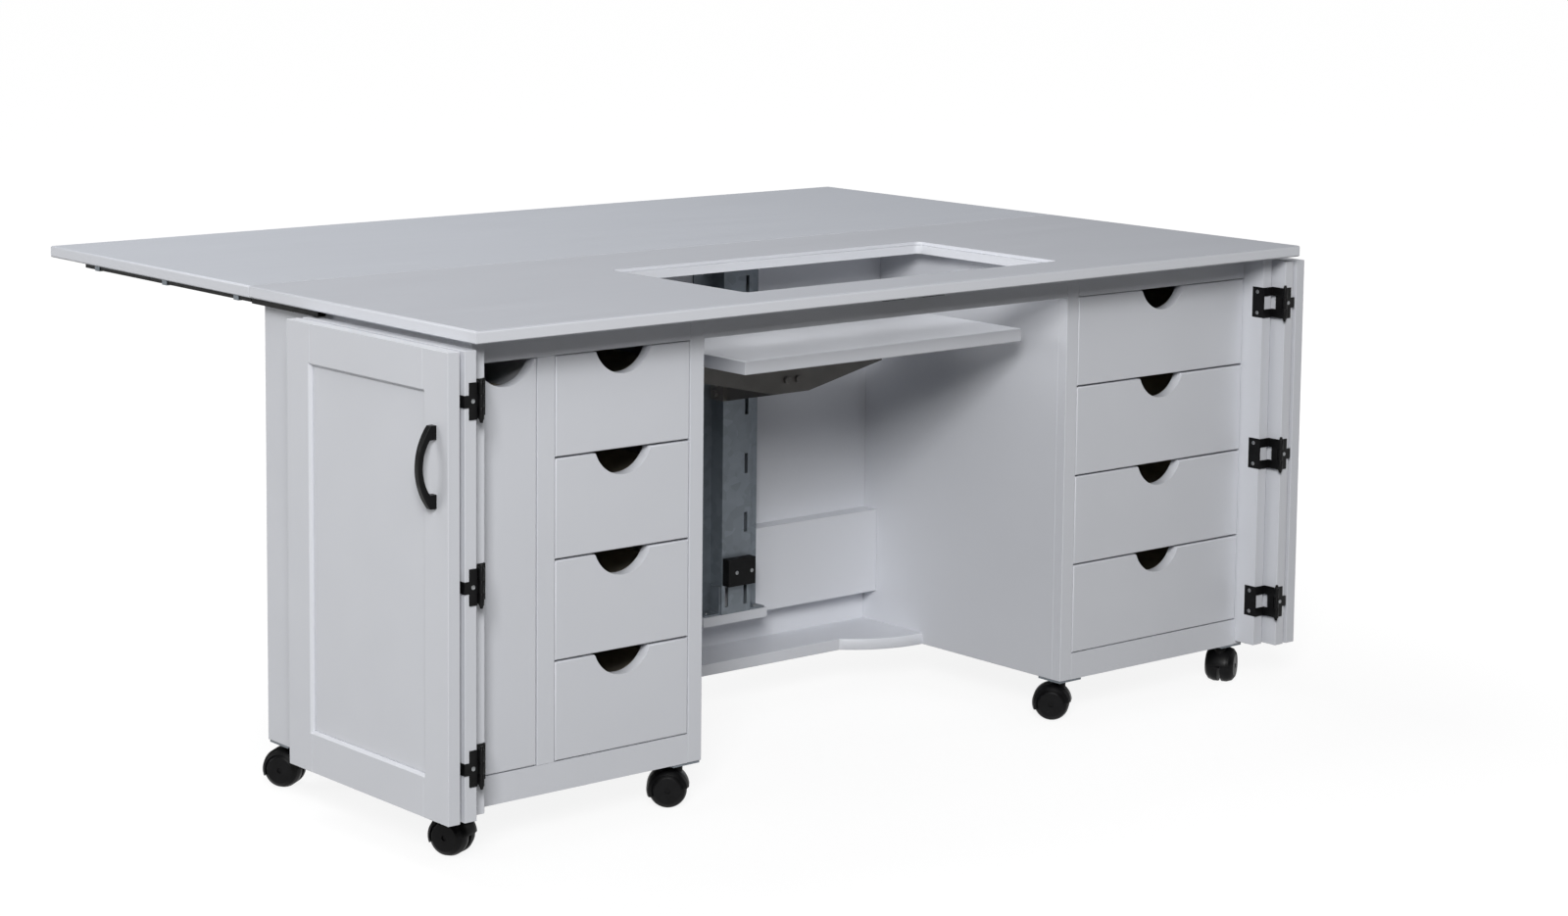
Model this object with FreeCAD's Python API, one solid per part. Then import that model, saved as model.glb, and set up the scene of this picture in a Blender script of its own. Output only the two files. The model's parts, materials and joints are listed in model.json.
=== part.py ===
import FreeCAD
import Part
import os

# Sewing cabinet, in millimetres. X runs across the cabinet with 0 at its middle. Y runs from
# front to back with 0 half way between the front edge of the worktop and the back edge of the
# raised leaf. Z is up from the floor. At rest the cabinet stands as it is used: leaf raised,
# doors folded back along the sides, drawers shut and the lift at sewing height.

# Worktop
overall_height = 775.0
top_width = 1708.0
top_thickness = 19.0
front_overhang = 85.0
side_overhang = 22.0
rear_overhang = 8.0
leaf_depth = 622.0
seam_gap = 2.0
top_edge_radius = 3.0

# Machine opening in the worktop, with a rebate for an insert
opening_width = 644.0
opening_depth = 316.0
opening_setback = 14.0
opening_offset = 33.0
opening_corner_radius = 10.0
rebate_width = 8.0
rebate_depth = 5.0

# Cases and face frame
case_depth = 500.0
caster_height = 72.0
board_thickness = 19.0
back_thickness = 12.0
kneehole_width = 764.0
left_outer_stile_width = 32.0
right_outer_stile_width = 21.0
inner_stile_width = 26.0
divider_stile_width = 31.0
top_rail_height = 42.5
bottom_rail_height = 44.0
apron_thickness = 12.0
stretcher_width = 60.0
post_width = 21.0
post_depth = 43.0

# Kneehole
ledge_depth = 33.0
ledge_level = 145.0
ledge_height = 145.0
ledge_board = 12.0
lift_rail_height = 66.0
shelf_setback = 390.0
shelf_ear_setback = 334.0
shelf_ear_width = 142.0
shelf_bulge_shares = (0.58, 0.71)

# Drawers and narrow pull-out
drawer_rows = 4
pullout_width = 112.0
front_gap = 3.0
front_edge_radius = 2.0
pull_width = 102.0
pull_depth = 36.0
box_side_thickness = 12.0
box_bottom_thickness = 6.0
box_bottom_inset = 8.0
box_depth = 430.0
box_side_share = 0.72
box_lift = 10.0
slide_space = 13.0
slide_height = 40.0
slide_length = 430.0
slide_setback = 4.0
slide_clearance = 0.3
rack_board = 12.0
rack_lip_height = 36.0
rack_lip_thickness = 8.0
rack_shelf_shares = (0.36, 0.68)
rack_slide_shares = (0.06, 0.88)

# Folding doors
door_thickness = 20.0
door_top_gap = 10.0
door_bottom_gap = 6.0
door_frame_width = 62.0
door_panel_thickness = 9.0
door_panel_recess = 6.0
door_bevel = 4.0
door_centre_gap = 3.0
door_post_gap = 3.0
fold_edge_gap = 2.0
fold_face_gap = 8.0

# Door hinges: a case leaf wraps the post, and the door leaf's tongue closes into its window
hinge_shares = (-0.385, 0.002, 0.394)
hinge_height = 52.0
hinge_plate = 2.0
hinge_knuckle_radius = 4.0
hinge_pin_radius = 2.0
hinge_side_offset = 4.0
hinge_face_offset = 5.0
hinge_edge_offset = 4.5
hinge_leg_reach = 23.0
hinge_window_height = 23.0
hinge_window_reach = 7.0
hinge_arm_height = 18.0
hinge_relief_gap = 1.2
hinge_leaf_reach = 13.0
hinge_tongue_height = 17.0
hinge_wrap_reach = 12.0
finial_height = 5.0
finial_radius = 3.2
running_clearance = 0.05
knuckle_gap = 0.3

# Fold hinges between inner and outer doors
fold_hinge_height = 50.0
fold_hinge_reach = 25.0
fold_hinge_plate = 1.5
fold_knuckle_radius = 3.4
fold_pin_radius = 1.6

# Leaf hinges under the seam of the worktop
leaf_hinge_shares = (-0.36, -0.12, 0.12, 0.36)
leaf_hinge_length = 76.0
leaf_hinge_reach = 32.0
leaf_hinge_plate = 2.0
leaf_knuckle_radius = 5.0
leaf_knuckle_count = 5
leaf_pin_radius = 2.5
leaf_pin_drop = 4.0

# Leaf support bars, their guide straps and keepers
bar_width = 11.0
bar_height = 6.0
bar_inset = 4.0
bar_clearance = 0.3
bar_wall = 1.2
bar_rear_margin = 110.0
guide_length = 14.0
guide_shares = (0.08, 0.5, 0.92)
keeper_length = 184.0
keeper_setback = 4.0

# Door pulls and catches
handle_length = 117.0
handle_width = 11.0
handle_projection = 30.0
handle_grip = 8.0
handle_foot_length = 20.0
handle_foot_height = 10.0
handle_edge_radius = 1.5
handle_edge_distance = 33.0
handle_level_share = 0.756
catch_width = 45.0
catch_depth = 14.0
catch_height = 8.0
catch_offset = 42.0
catch_gap = 2.0

# Machine lift
platform_width = 588.0
platform_depth = 270.0
platform_thickness = 22.0
platform_drop = 113.0
platform_setback = 36.0
platform_edge_radius = 2.0
column_width = 62.0
column_depth = 35.0
column_flange = 39.0
column_wall = 3.0
column_top_gap = 6.0
slot_width = 7.0
slot_length = 34.0
slot_offset = 20.0
slot_shares = (0.26, 0.43, 0.6, 0.77, 0.94)
foot_slot_level = 30.0
seat_height = 16.0
seat_margin = 4.0
bracket_height = 48.0
bracket_width = 24.0
bracket_foot = 34.0
carriage_height = 115.0
carriage_clearance = 0.5
carriage_wall = 4.0
carriage_flange_gap = 3.0
arm_width = 50.0
arm_wall = 4.0
beam_setback = 34.0
beam_length = 396.0
beam_depth = 30.0
beam_end_height = 50.0
beam_hub_height = 86.0
beam_hub_width = 74.0
rib_root_height = 45.0
rib_end_height = 8.0
rib_front_gap = 40.0
stop_width = 58.0
stop_height = 46.0
stop_thickness = 16.0
stop_level = 211.0

# Casters
caster_inset = 27.0
caster_trail = 12.0
caster_half_width = 25.0
caster_web = 5.0
caster_plate_size = 50.0
caster_plate_thickness = 4.0
caster_plate_gap = 0.3
wheel_radius = 29.0
wheel_side_gap = 0.5
wheel_dome_shares = ((0.45, 1.0), (0.8, 0.9), (1.0, 0.68))
hood_clearance = 0.8
hood_wall = 2.6
hood_sweep = 196.0
hood_tilt = 14.0
axle_radius = 4.0
boss_radius = 10.0
pivot_radius = 5.0
pivot_depth = 3.0

# One overrun serves all cuts, and one tolerance all comparisons of places
overrun = 5.0
tolerance = 0.001
X_AXIS = FreeCAD.Vector(1, 0, 0)
Y_AXIS = FreeCAD.Vector(0, 1, 0)
Z_AXIS = FreeCAD.Vector(0, 0, 1)
ORIGIN = FreeCAD.Vector(0, 0, 0)

# Places worked out from the sizes above
top_half = top_width / 2
case_half = top_half - side_overhang
kneehole_half = kneehole_width / 2
under_top = overall_height - top_thickness
main_depth = front_overhang + case_depth + rear_overhang
front_edge_y = -(main_depth + seam_gap + leaf_depth) / 2
face_y = front_edge_y + front_overhang
back_y = face_y + case_depth
inside_back_y = back_y - back_thickness
inside_front_y = face_y + board_thickness
seam_y = front_edge_y + main_depth
pin_y = seam_y + seam_gap / 2
pin_z = under_top - leaf_pin_drop
leaf_front_y = seam_y + seam_gap
leaf_back_y = leaf_front_y + leaf_depth
case_floor = caster_height + board_thickness
fronts_low = caster_height + bottom_rail_height
fronts_high = under_top - top_rail_height
row_pitch = (fronts_high - fronts_low) / drawer_rows
divider_left = -case_half + left_outer_stile_width + pullout_width
divider_right = divider_left + divider_stile_width
divider_span = ((divider_left + divider_right - board_thickness) / 2,
                (divider_left + divider_right + board_thickness) / 2)
opening_x = (opening_offset - opening_width / 2, opening_offset + opening_width / 2)
opening_y = (face_y + opening_setback, face_y + opening_setback + opening_depth)
post_front_y = face_y - post_depth
door_inner_y = post_front_y - door_post_gap
post_inner_x = case_half - post_width
hinge_x = case_half + hinge_side_offset
hinge_y = door_inner_y - door_thickness - hinge_face_offset
door_low = caster_height + door_bottom_gap
door_high = under_top - door_top_gap
door_width = (hinge_x - hinge_edge_offset - door_centre_gap / 2 - fold_edge_gap) / 2
door_front_y = hinge_y + hinge_edge_offset
door_back_y = door_front_y + door_width
inner_door_x = (hinge_x + hinge_face_offset, hinge_x + hinge_face_offset + door_thickness)
outer_door_x = (inner_door_x[1] + fold_face_gap, inner_door_x[1] + fold_face_gap + door_thickness)
fold_x = inner_door_x[1] + fold_face_gap / 2
fold_y = door_back_y + fold_edge_gap / 2
bar_x = (top_half - bar_inset - bar_width, top_half - bar_inset)
bar_z = (under_top - bar_clearance - bar_height, under_top - bar_clearance)
bar_y = (leaf_front_y, leaf_back_y - bar_rear_margin)
ledge_front_y = inside_back_y - ledge_depth
column_front_y = ledge_front_y - column_depth
column_foot = ledge_level + seat_height
platform_top = overall_height - platform_drop
platform_bottom = platform_top - platform_thickness
platform_x = (opening_offset - platform_width / 2, opening_offset + platform_width / 2)
platform_y = (opening_y[0] + platform_setback, opening_y[0] + platform_setback + platform_depth)
carriage_front_y = column_front_y - carriage_clearance - carriage_wall


def point(x, y, z):
    return FreeCAD.Vector(x, y, z)


def board(x_span, y_span, z_span):
    """A plain board between three pairs of coordinates."""
    corner = point(x_span[0], y_span[0], z_span[0])
    return Part.makeBox(x_span[1] - x_span[0], y_span[1] - y_span[0], z_span[1] - z_span[0], corner)


def span(first, second):
    """Two coordinates in rising order."""
    return (min(first, second), max(first, second))


def about(middle, size):
    """The span of a size centred on a place."""
    return (middle - size / 2, middle + size / 2)


def grown(limits, margin):
    """A span made longer by a margin at both ends."""
    return (limits[0] - margin, limits[1] + margin)


def prism(points, direction):
    """A straight-sided outline pushed along a direction."""
    return Part.Face(Part.makePolygon(points + points[:1])).extrude(direction)


def upright(radius, x, y, z_span):
    """An upright cylinder."""
    return Part.makeCylinder(radius, z_span[1] - z_span[0], point(x, y, z_span[0]), Z_AXIS)


def fused(solids):
    """One solid from pieces that overlap."""
    return solids[0].fuse(solids[1:]).removeSplitter()


def mirrored(solids):
    """The same pieces on the other side of the cabinet."""
    return [solid.mirror(ORIGIN, X_AXIS) for solid in solids]


def in_plane(low, high, place):
    """Whether a pair of limits both lie at one place."""
    return abs(low - place) < tolerance and abs(high - place) < tolerance


def rounded_board(x_span, y_span, z_span, radius, square_y=None):
    """A board with its level edges rounded, apart from those along a square end."""
    plain = board(x_span, y_span, z_span)
    edges = []
    for edge in plain.Edges:
        box = edge.BoundBox
        square = square_y is not None and in_plane(box.YMin, box.YMax, square_y)
        if box.ZLength < tolerance and not square:
            edges.append(edge)
    return plain.makeFillet(radius, edges)


def rounded_front(x_span, z_span):
    """A drawer front with its front edges rounded."""
    plain = board(x_span, (face_y, inside_front_y), z_span)
    edges = [edge for edge in plain.Edges if in_plane(edge.BoundBox.YMin, edge.BoundBox.YMax, face_y)]
    return plain.makeFillet(front_edge_radius, edges)


def rounded_prism(x_span, y_span, z_span, radius):
    """A block with its upright edges rounded."""
    plain = board(x_span, y_span, z_span)
    height = z_span[1] - z_span[0]
    edges = [edge for edge in plain.Edges if abs(edge.BoundBox.ZLength - height) < tolerance]
    return plain.makeFillet(radius, edges)


def leaf_hinge_places():
    return [share * top_width for share in leaf_hinge_shares]


def leaf_hinge_pocket(x, side):
    """The recess for one hinge plate in the underside of the worktop, open to the seam."""
    near = pin_y
    far = pin_y + side * leaf_hinge_reach
    z_span = (under_top - overrun, under_top + leaf_hinge_plate)
    return board(about(x, leaf_hinge_length), span(near, far), z_span)


def leaf_hinge_half(x, side):
    """One leaf of a seam hinge: side -1 is on the main top and holds the pin, side 1 is on the leaf."""
    pitch = leaf_hinge_length / leaf_knuckle_count
    first = 0 if side < 0 else 1
    z_span = (under_top, under_top + leaf_hinge_plate)
    clear_y = pin_y + side * (leaf_knuckle_radius + knuckle_gap)
    x_low = x - leaf_hinge_length / 2
    pieces = [board(about(x, leaf_hinge_length), span(clear_y, pin_y + side * leaf_hinge_reach), z_span)]
    for index in range(first, leaf_knuckle_count, 2):
        x_span = (x_low + index * pitch + knuckle_gap, x_low + (index + 1) * pitch - knuckle_gap)
        length = x_span[1] - x_span[0]
        pieces.append(board(x_span, span(clear_y, pin_y), z_span))
        pieces.append(Part.makeCylinder(leaf_knuckle_radius, length, point(x_span[0], pin_y, pin_z), X_AXIS))
    if side < 0:
        start = point(x_low, pin_y, pin_z)
        pieces.append(Part.makeCylinder(leaf_pin_radius, leaf_hinge_length, start, X_AXIS))
        return fused(pieces)
    start = point(x_low - overrun, pin_y, pin_z)
    bore_length = leaf_hinge_length + 2 * overrun
    bore = Part.makeCylinder(leaf_pin_radius + running_clearance, bore_length, start, X_AXIS)
    return fused(pieces).cut(bore)


def main_top():
    """The fixed worktop with the machine opening, its rebate and the hinge recesses."""
    top = rounded_board((-top_half, top_half), (front_edge_y, seam_y), (under_top, overall_height),
                        top_edge_radius, seam_y)
    through = (under_top - overrun, overall_height + overrun)
    rebate = (overall_height - rebate_depth, overall_height + overrun)
    cuts = [rounded_prism(opening_x, opening_y, through, opening_corner_radius),
            rounded_prism(grown(opening_x, rebate_width), grown(opening_y, rebate_width), rebate,
                          opening_corner_radius)]
    cuts += [leaf_hinge_pocket(x, -1) for x in leaf_hinge_places()]
    return [top.cut(cuts)]


def rear_leaf():
    """The hinged rear leaf."""
    leaf = rounded_board((-top_half, top_half), (leaf_front_y, leaf_back_y), (under_top, overall_height),
                         top_edge_radius, leaf_front_y)
    return [leaf.cut([leaf_hinge_pocket(x, 1) for x in leaf_hinge_places()])]


def case_panels(outer_x, inner_x, divided):
    """One pedestal's boards: sides, bottom, back, two stretchers and any divider."""
    side_y = (inside_front_y, back_y)
    full_z = (caster_height, under_top)
    inside_x = (outer_x[1], inner_x[0]) if outer_x[0] < inner_x[0] else (inner_x[1], outer_x[0])
    stretcher_z = (under_top - board_thickness, under_top)
    panels = [board(outer_x, side_y, full_z), board(inner_x, side_y, full_z),
              board(inside_x, side_y, (caster_height, case_floor)),
              board(inside_x, (inside_back_y, back_y), (case_floor, under_top)),
              board(inside_x, (inside_front_y, inside_front_y + stretcher_width), stretcher_z),
              board(inside_x, (inside_back_y - stretcher_width, inside_back_y), stretcher_z)]
    if divided:
        panels.append(board(divider_span, (inside_front_y, inside_back_y), (case_floor, stretcher_z[0])))
    return panels


def left_case():
    outer_x = (-case_half, -case_half + board_thickness)
    inner_x = (-kneehole_half - board_thickness, -kneehole_half)
    return case_panels(outer_x, inner_x, True)


def right_case():
    outer_x = (case_half - board_thickness, case_half)
    inner_x = (kneehole_half, kneehole_half + board_thickness)
    return case_panels(outer_x, inner_x, False)


def face_frame():
    """Stiles and rails of both pedestals, the apron over the kneehole and the corner hinge posts."""
    frame_y = (face_y, inside_front_y)
    full_z = (caster_height, under_top)
    top_z = (fronts_high, under_top)
    bottom_z = (caster_height, fronts_low)
    left_x = (-case_half + left_outer_stile_width, -kneehole_half - inner_stile_width)
    right_x = (kneehole_half + inner_stile_width, case_half - right_outer_stile_width)
    pieces = [board((-case_half, left_x[0]), frame_y, full_z),
              board((left_x[1], -kneehole_half), frame_y, full_z),
              board((kneehole_half, right_x[0]), frame_y, full_z),
              board((right_x[1], case_half), frame_y, full_z),
              board((divider_left, divider_right), frame_y, (fronts_low, fronts_high)),
              board((-kneehole_half, kneehole_half), (face_y, face_y + apron_thickness), top_z)]
    for x_span in (left_x, right_x):
        pieces += [board(x_span, frame_y, top_z), board(x_span, frame_y, bottom_z)]
    post = board((post_inner_x, case_half), (post_front_y, face_y), (door_low, under_top))
    post = post.cut([hinge_leg(level) for level in hinge_levels()])
    return pieces + [post] + mirrored([post])


def kneehole_back():
    """The kneehole's back panel, the box ledge along it, the lift's seat and the rail at its top end."""
    x_span = (-kneehole_half, kneehole_half)
    seat_x = about(opening_offset, column_width + 2 * (bracket_foot + seat_margin))
    ledge_z = (ledge_level, ledge_level + ledge_height)
    ledge_y = (ledge_front_y, inside_back_y)
    behind_y = (ledge_front_y + ledge_board, inside_back_y)
    return [board(x_span, (inside_back_y, back_y), (caster_height, under_top)),
            board(x_span, (ledge_front_y, behind_y[0]), ledge_z),
            board(x_span, behind_y, (ledge_z[1] - ledge_board, ledge_z[1])),
            board(x_span, behind_y, (ledge_z[0], ledge_z[0] + ledge_board)),
            board(seat_x, (column_front_y, ledge_front_y), (ledge_level, column_foot)),
            board(x_span, ledge_y, (under_top - lift_rail_height, under_top))]


def kneehole_shelf():
    """The low shelf, set back in the middle, with a curved ear at each pedestal."""
    middle_y = face_y + shelf_setback
    ear_y = face_y + shelf_ear_setback
    ear_x = kneehole_half - shelf_ear_width
    bulge_x = kneehole_half - shelf_bulge_shares[0] * shelf_ear_width
    bulge_y = middle_y - shelf_bulge_shares[1] * (middle_y - ear_y)

    def at(x, y):
        return point(x, y, caster_height)

    edges = [Part.makeLine(at(-kneehole_half, inside_back_y), at(kneehole_half, inside_back_y)),
             Part.makeLine(at(kneehole_half, inside_back_y), at(kneehole_half, ear_y)),
             Part.Arc(at(kneehole_half, ear_y), at(bulge_x, bulge_y), at(ear_x, middle_y)).toShape(),
             Part.makeLine(at(ear_x, middle_y), at(-ear_x, middle_y)),
             Part.Arc(at(-ear_x, middle_y), at(-bulge_x, bulge_y), at(-kneehole_half, ear_y)).toShape(),
             Part.makeLine(at(-kneehole_half, ear_y), at(-kneehole_half, inside_back_y))]
    return [Part.Face(Part.Wire(edges)).extrude(Z_AXIS * board_thickness)]


def half_moon(x, top_z):
    """The cutter for a half-moon finger pull in the upper edge of a front."""
    radius = (pull_width ** 2 / 4 + pull_depth ** 2) / (2 * pull_depth)
    start = point(x, face_y - overrun, top_z - pull_depth + radius)
    return Part.makeCylinder(radius, board_thickness + 2 * overrun, start, Y_AXIS)


def row_span(row):
    """The height that the front of a row takes, counted from the bottom."""
    low = fronts_low + row * row_pitch + front_gap / 2
    return (low, low + row_pitch - front_gap)


def bank_spans(side):
    """The front opening and the case faces beside it, of the left (-1) or right (1) drawers."""
    if side < 0:
        return ((divider_right, -kneehole_half - inner_stile_width),
                (divider_span[1], -kneehole_half - board_thickness))
    return ((kneehole_half + inner_stile_width, case_half - right_outer_stile_width),
            (kneehole_half + board_thickness, case_half - board_thickness))


def drawer_front(side, row):
    """A drawer front with its half-moon pull."""
    opening = bank_spans(side)[0]
    z_span = row_span(row)
    front = rounded_front(grown(opening, -front_gap / 2), z_span)
    return [front.cut(half_moon((opening[0] + opening[1]) / 2, z_span[1]))]


def box_height_span(row):
    z_span = row_span(row)
    low = z_span[0] + box_lift
    return (low, low + box_side_share * (z_span[1] - z_span[0]))


def drawer_box(side, row):
    """A drawer box behind its front: two sides, a back and a bottom."""
    x_span = grown(bank_spans(side)[0], -slide_space)
    inside_x = grown(x_span, -box_side_thickness)
    y_span = (inside_front_y, inside_front_y + box_depth)
    z_span = box_height_span(row)
    bottom_z = (z_span[0] + box_bottom_inset, z_span[0] + box_bottom_inset + box_bottom_thickness)
    back_y_span = (y_span[1] - box_side_thickness, y_span[1])
    return [board((x_span[0], inside_x[0]), y_span, z_span),
            board((inside_x[1], x_span[1]), y_span, z_span),
            board(inside_x, back_y_span, z_span),
            board(inside_x, (y_span[0], back_y_span[0]), bottom_z)]


def slide_pair(case_x, box_x, middle_z):
    """A pair of slide rails on the case, either side of a box."""
    y_span = (inside_front_y + slide_setback, inside_front_y + slide_setback + slide_length)
    z_span = about(middle_z, slide_height)
    return [board((case_x[0], box_x[0] - slide_clearance), y_span, z_span),
            board((box_x[1] + slide_clearance, case_x[1]), y_span, z_span)]


def pullout_opening():
    return (-case_half + left_outer_stile_width, divider_left)


def pullout_span():
    """The height of the narrow front."""
    return (fronts_low + front_gap / 2, fronts_high - front_gap / 2)


def drawer_slides():
    """The slide rails of all drawers and of the narrow pull-out."""
    rails = []
    for side in (-1, 1):
        opening, case_x = bank_spans(side)
        for row in range(drawer_rows):
            z_span = box_height_span(row)
            rails += slide_pair(case_x, grown(opening, -slide_space), (z_span[0] + z_span[1]) / 2)
    case_x = (-case_half + board_thickness, divider_span[0])
    z_low, z_high = pullout_span()
    for share in rack_slide_shares:
        rails += slide_pair(case_x, grown(pullout_opening(), -slide_space), z_low + share * (z_high - z_low))
    return rails


def pullout_front():
    """The tall narrow front with its half-moon pull."""
    opening = pullout_opening()
    z_span = pullout_span()
    front = rounded_front(grown(opening, -front_gap / 2), z_span)
    return [front.cut(half_moon((opening[0] + opening[1]) / 2, z_span[1]))]


def pullout_rack():
    """The rack behind the narrow front: a back, a base and shelves with a lip on either side."""
    x_span = grown(pullout_opening(), -slide_space)
    z_low, z_high = pullout_span()
    y_span = (inside_front_y, inside_front_y + box_depth)
    shelf_y = (y_span[0], y_span[1] - rack_board)
    rack_low = z_low + box_lift
    rack_top = z_high - pull_depth - box_lift
    levels = [rack_low] + [rack_low + share * (rack_top - rack_low) for share in rack_shelf_shares]
    rack = [board(x_span, (shelf_y[1], y_span[1]), (rack_low, rack_top))]
    for level in levels:
        lip_z = (level + rack_board, level + rack_board + rack_lip_height)
        rack.append(board(x_span, shelf_y, (level, level + rack_board)))
        rack.append(board((x_span[0], x_span[0] + rack_lip_thickness), shelf_y, lip_z))
        rack.append(board((x_span[1] - rack_lip_thickness, x_span[1]), shelf_y, lip_z))
    top_z = (rack_top - rack_lip_height, rack_top)
    rack.append(board((x_span[0], x_span[0] + rack_lip_thickness), shelf_y, top_z))
    rack.append(board((x_span[1] - rack_lip_thickness, x_span[1]), shelf_y, top_z))
    return rack


def rectangle_wire(x, y_span, z_span):
    """An upright rectangle in a plane across X."""
    corners = [point(x, y_span[0], z_span[0]), point(x, y_span[1], z_span[0]),
               point(x, y_span[1], z_span[1]), point(x, y_span[0], z_span[1])]
    return Part.makePolygon(corners + corners[:1])


def door(x_span, good_side):
    """A framed door at rest, with a recessed panel and a bevel round its good side (-1 or 1)."""
    face_x = x_span[0] if good_side < 0 else x_span[1]
    y_span = (door_front_y, door_back_y)
    z_span = (door_low, door_high)
    open_y = grown(y_span, -door_frame_width)
    open_z = grown(z_span, -door_frame_width)
    bevel = Part.makeLoft([rectangle_wire(face_x - good_side * door_bevel, open_y, open_z),
                           rectangle_wire(face_x + good_side * overrun, grown(open_y, door_bevel + overrun),
                                          grown(open_z, door_bevel + overrun))], True, True)
    frame = [board(x_span, (y_span[0], open_y[0]), z_span), board(x_span, (open_y[1], y_span[1]), z_span),
             board(x_span, open_y, (z_span[0], open_z[0])), board(x_span, open_y, (open_z[1], z_span[1]))]
    panel_x = span(face_x - good_side * door_panel_recess,
                   face_x - good_side * (door_panel_recess + door_panel_thickness))
    return [piece.cut(bevel) for piece in frame] + [board(panel_x, open_y, open_z)]


def hinge_levels():
    """The heights of the door hinges."""
    middle = (door_low + door_high) / 2
    return [middle + share * (door_high - door_low) for share in hinge_shares]


def hinge_leg(level):
    """The leg of a case leaf, let into the inner face of the post."""
    y_span = (post_front_y - hinge_plate, post_front_y + hinge_leg_reach)
    return board((post_inner_x, post_inner_x + hinge_plate), y_span, about(level, hinge_height))


def case_hinge_leaf(level):
    """A case leaf: a windowed strip wrapped round the post and on to the pin, with its knuckles."""
    z_span = about(level, hinge_height)
    plate_x = (hinge_x - hinge_plate, hinge_x)
    flange_y = (post_front_y - hinge_plate, post_front_y)
    flange = board((post_inner_x, hinge_x), flange_y, z_span)
    plate = board(plate_x, (hinge_y, post_front_y), z_span)
    window_y = (flange_y[0] - hinge_window_reach, post_front_y)
    window_x = (post_inner_x + hinge_plate, hinge_x + overrun)
    window = board(window_x, window_y, about(level, hinge_window_height))
    arm_z = grown(about(level, hinge_arm_height), knuckle_gap)
    relief_y = (hinge_y - overrun, hinge_y + hinge_knuckle_radius + hinge_relief_gap)
    relief = board(grown(plate_x, overrun), relief_y, arm_z)
    pieces = [fused([hinge_leg(level), flange, plate]).cut([window, relief])]
    for limits in ((z_span[0], arm_z[0]), (arm_z[1], z_span[1])):
        pieces.append(upright(hinge_knuckle_radius, hinge_x, hinge_y, limits))
    pieces.append(upright(hinge_pin_radius, hinge_x, hinge_y, z_span))
    top = point(hinge_x, hinge_y, z_span[1])
    foot = point(hinge_x, hinge_y, z_span[0])
    pieces.append(Part.makeCone(finial_radius, hinge_pin_radius, finial_height, top, Z_AXIS))
    pieces.append(Part.makeCone(finial_radius, hinge_pin_radius, finial_height, foot, -Z_AXIS))
    return fused(pieces)


def door_hinge_leaf(level):
    """A door leaf on the inner door's edge: the middle knuckle, and a tongue round the other corner."""
    arm_z = about(level, hinge_arm_height)
    tongue_z = about(level, hinge_tongue_height)
    leaf_y = (door_front_y - hinge_plate, door_front_y)
    leaf_x = (inner_door_x[0], inner_door_x[0] + hinge_leaf_reach)
    wrap_x = (inner_door_x[1], inner_door_x[1] + hinge_plate)
    pieces = [board(leaf_x, leaf_y, about(level, hinge_height)),
              board((hinge_x, leaf_x[1]), leaf_y, arm_z),
              board((leaf_x[0], wrap_x[1]), leaf_y, tongue_z),
              board(wrap_x, (leaf_y[0], door_front_y + hinge_wrap_reach), tongue_z),
              upright(hinge_knuckle_radius, hinge_x, hinge_y, arm_z)]
    bore = upright(hinge_pin_radius + running_clearance, hinge_x, hinge_y, grown(arm_z, overrun))
    return fused(pieces).cut(bore)


def fold_hinge_half(level, side):
    """One leaf of a fold hinge: side -1 is on the inner door and holds the pin, side 1 on the outer door."""
    third = fold_hinge_height / 3
    z_low = level - fold_hinge_height / 2
    outer_x = fold_x + side * fold_face_gap / 2
    plate_x = span(outer_x, outer_x - side * fold_hinge_plate)
    clear_y = fold_y - fold_knuckle_radius - knuckle_gap
    pieces = [board(plate_x, (fold_y - fold_hinge_reach, clear_y), (z_low, z_low + fold_hinge_height))]
    for index in (0, 2) if side < 0 else (1,):
        z_span = (z_low + index * third + knuckle_gap, z_low + (index + 1) * third - knuckle_gap)
        pieces.append(board(plate_x, (clear_y, fold_y), z_span))
        pieces.append(upright(fold_knuckle_radius, fold_x, fold_y, z_span))
    if side < 0:
        pieces.append(upright(fold_pin_radius, fold_x, fold_y, (z_low, z_low + fold_hinge_height)))
        return fused(pieces)
    bore_z = grown((z_low, z_low + fold_hinge_height), overrun)
    return fused(pieces).cut(upright(fold_pin_radius + running_clearance, fold_x, fold_y, bore_z))


def case_hinges():
    leaves = [case_hinge_leaf(level) for level in hinge_levels()]
    return leaves + mirrored(leaves)


def inner_door_hinges():
    """The hinge leaves that an inner door carries."""
    return ([door_hinge_leaf(level) for level in hinge_levels()]
            + [fold_hinge_half(level, -1) for level in hinge_levels()])


def outer_door_hinges():
    """The hinge leaves that an outer door carries."""
    return [fold_hinge_half(level, 1) for level in hinge_levels()]


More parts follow.
